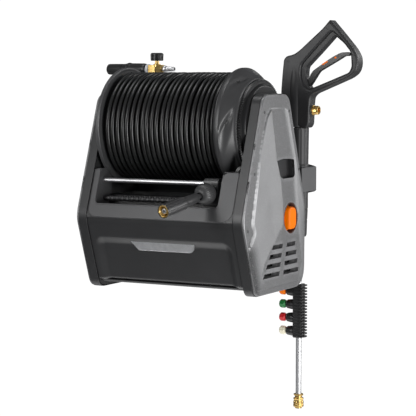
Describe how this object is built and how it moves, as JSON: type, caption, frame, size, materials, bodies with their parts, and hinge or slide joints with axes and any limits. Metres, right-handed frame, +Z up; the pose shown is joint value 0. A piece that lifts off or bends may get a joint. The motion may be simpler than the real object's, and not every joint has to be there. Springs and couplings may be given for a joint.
{
  "type": "pressure washer",
  "caption": "Wall-hung electric pressure washer: motor housing with a level-wind hose reel on top, a spray gun and lance in a side holder, a nozzle rack and a foam lance.",
  "frame": {"origin": "on the wall plane, at the middle of the housing's width and at the level where the housing is deepest from front to back", "axes": "+X to the right as seen by a user facing the wall, +Y into the wall, +Z up"},
  "size_m": [0.729, 0.5741, 0.995],
  "materials": {
    "casing_dark": "fine moulded texture, satin",
    "cover_metallic_grey": "metallic grey paint on moulded plastic, satin",
    "bezel_grey": "fine moulded texture, satin",
    "black_plastic": "fine moulded texture",
    "hose_rubber": "smooth extruded cover, semi-gloss",
    "steel": "polished",
    "screw_steel": "oiled, machined",
    "brass": "turned, lightly tarnished",
    "badge_silver": "brushed, plain",
    "orange_plastic": "moulded, satin",
    "green_plastic": "moulded, satin",
    "red_plastic": "moulded, satin",
    "cream_plastic": "moulded, satin",
    "bracket_black": "powder coat",
    "cast_alloy": "bead-blasted aluminium casting"
  },
  "bodies": {
    "washer": {"wall_bracket": "bracket_black", "wall_bolt_1": "steel", "wall_bolt_2": "steel", "gun_holder": "bracket_black", "right_post": "casing_dark", "left_post": "casing_dark", "right_side_cover": "cover_metallic_grey", "left_side_cover": "cover_metallic_grey", "front_cover": "casing_dark", "front_bezel": "bezel_grey", "badge": "badge_silver", "reel_trough": "black_plastic", "rear_cover": "casing_dark", "bottom_tray": "casing_dark", "switch_body": "black_plastic", "cable_gland": "black_plastic", "motor_housing": "cast_alloy", "pump_housing": "cast_alloy", "pump_head": "brass", "inlet_fitting": "brass", "transfer_pipe": "black_plastic", "mainspring": "steel", "reel_axle": "steel", "reel_swivel": "brass", "guide_rod": "steel"},
    "knob": {"power_knob": "orange_plastic"},
    "rotor": {"motor_fan": "black_plastic"},
    "reel": {"reel_drum": "black_plastic", "reel_left_flange": "bezel_grey", "reel_spring_cap": "bezel_grey", "hose_winding": "hose_rubber"},
    "idler": {"idler_gear": "black_plastic"},
    "screw": {"lead_screw": "screw_steel", "screw_gear": "black_plastic"},
    "carriage": {"carriage": "black_plastic", "hose_lead": "hose_rubber", "ball_stopper": "black_plastic", "bend_restrictor": "black_plastic", "connector_tip": "steel"},
    "connector_nut": {"connector_grip": "black_plastic", "connector_ring": "brass"},
    "gun": {"gun_front_shell": "black_plastic", "gun_rear_shell": "black_plastic", "gun_inlet": "brass", "lance_sheath": "black_plastic", "lance_pipe": "steel", "coupler_body": "brass", "nozzle_rack": "black_plastic"},
    "trigger": {"trigger": "black_plastic"},
    "trigger_lock": {"trigger_lock": "orange_plastic"},
    "coupler_sleeve": {"coupler_sleeve": "brass"},
    "nozzle_1": {"nozzle_1": "orange_plastic"},
    "nozzle_2": {"nozzle_2": "green_plastic"},
    "nozzle_3": {"nozzle_3": "red_plastic"},
    "nozzle_4": {"nozzle_4": "cream_plastic"},
    "foam_lance": {"foam_mixer": "black_plastic", "foam_valve_block": "brass", "foam_bottle": "black_plastic"},
    "foam_nozzle": {"foam_nozzle": "black_plastic"},
    "foam_knob": {"foam_knob": "black_plastic"}
  },
  "joints": [
    {"name": "reel_spin", "type": "hinge", "parent": "washer", "child": "reel", "pos_m": [0, -0.25, 0.216], "axis": [-1, 0, 0], "range_deg": [0, 6480]},
    {"name": "idler_spin", "type": "hinge", "parent": "washer", "child": "idler", "pos_m": [0, -0.34295, 0.07967], "axis": [-1, 0, 0], "range_deg": [-16280, 0]},
    {"name": "screw_spin", "type": "hinge", "parent": "washer", "child": "screw", "pos_m": [0, -0.37, 0.04], "axis": [-1, 0, 0], "range_deg": [0, 9770]},
    {"name": "carriage_slide", "type": "slide", "parent": "washer", "child": "carriage", "axis": [-1, 0, 0], "range_m": [0, 0.262]},
    {"name": "connector_nut_spin", "type": "hinge", "parent": "carriage", "child": "connector_nut", "pos_m": [0.126, -0.414, 0.063], "axis": [-0.1551, -0.9678, -0.1985], "continuous": true},
    {"name": "power_knob_turn", "type": "hinge", "parent": "washer", "child": "knob", "pos_m": [0.218, -0.176, -0.008], "axis": [1, 0, 0], "range_deg": [0, 90]},
    {"name": "motor_spin", "type": "hinge", "parent": "washer", "child": "rotor", "pos_m": [0, -0.25, -0.085], "axis": [1, 0, 0], "continuous": true},
    {"name": "gun_lift", "type": "slide", "parent": "washer", "child": "gun", "axis": [0, 0, 1], "range_m": [0, 0.07]},
    {"name": "trigger_pull", "type": "hinge", "parent": "gun", "child": "trigger", "pos_m": [0.224, -0.05, 0.324], "axis": [0, -1, 0], "range_deg": [0, 11], "stiffness_Nm_per_rad": 1.5, "springref_deg": -5.73},
    {"name": "trigger_lock_flip", "type": "hinge", "parent": "trigger", "child": "trigger_lock", "pos_m": [0.272, -0.05, 0.37], "axis": [0, -1, 0], "range_deg": [0, 35]},
    {"name": "coupler_sleeve_pull", "type": "slide", "parent": "gun", "child": "coupler_sleeve", "axis": [0, 0, 1], "range_m": [0, 0.006], "stiffness_N_per_m": 400, "springref_m": -0.002},
    {"name": "nozzle_1_pull", "type": "slide", "parent": "gun", "child": "nozzle_1", "axis": [-1, 0, 0], "range_m": [0, 0.024]},
    {"name": "nozzle_2_pull", "type": "slide", "parent": "gun", "child": "nozzle_2", "axis": [-1, 0, 0], "range_m": [0, 0.024]},
    {"name": "nozzle_3_pull", "type": "slide", "parent": "gun", "child": "nozzle_3", "axis": [-1, 0, 0], "range_m": [0, 0.024]},
    {"name": "nozzle_4_pull", "type": "slide", "parent": "gun", "child": "nozzle_4", "axis": [-1, 0, 0], "range_m": [0, 0.024]},
    {"name": "foam_lance_lift", "type": "slide", "parent": "washer", "child": "foam_lance", "axis": [0, 0, 1], "range_m": [0, 0.06]},
    {"name": "foam_nozzle_twist", "type": "hinge", "parent": "foam_lance", "child": "foam_nozzle", "pos_m": [-0.303, -0.072, 0.362], "axis": [1, 0, 0], "range_deg": [-90, 90]},
    {"name": "foam_knob_turn", "type": "hinge", "parent": "foam_lance", "child": "foam_knob", "pos_m": [-0.209, -0.072, 0.362], "axis": [0, 0, 1], "range_deg": [0, 270]}
  ],
  "couplings": [
    {"joint": "idler_spin", "follows": "reel_spin", "ratio": -2.5106},
    {"joint": "screw_spin", "follows": "reel_spin", "ratio": 1.5064},
    {"joint": "carriage_slide", "follows": "reel_spin", "m_per_rad": 0.0023077}
  ]
}
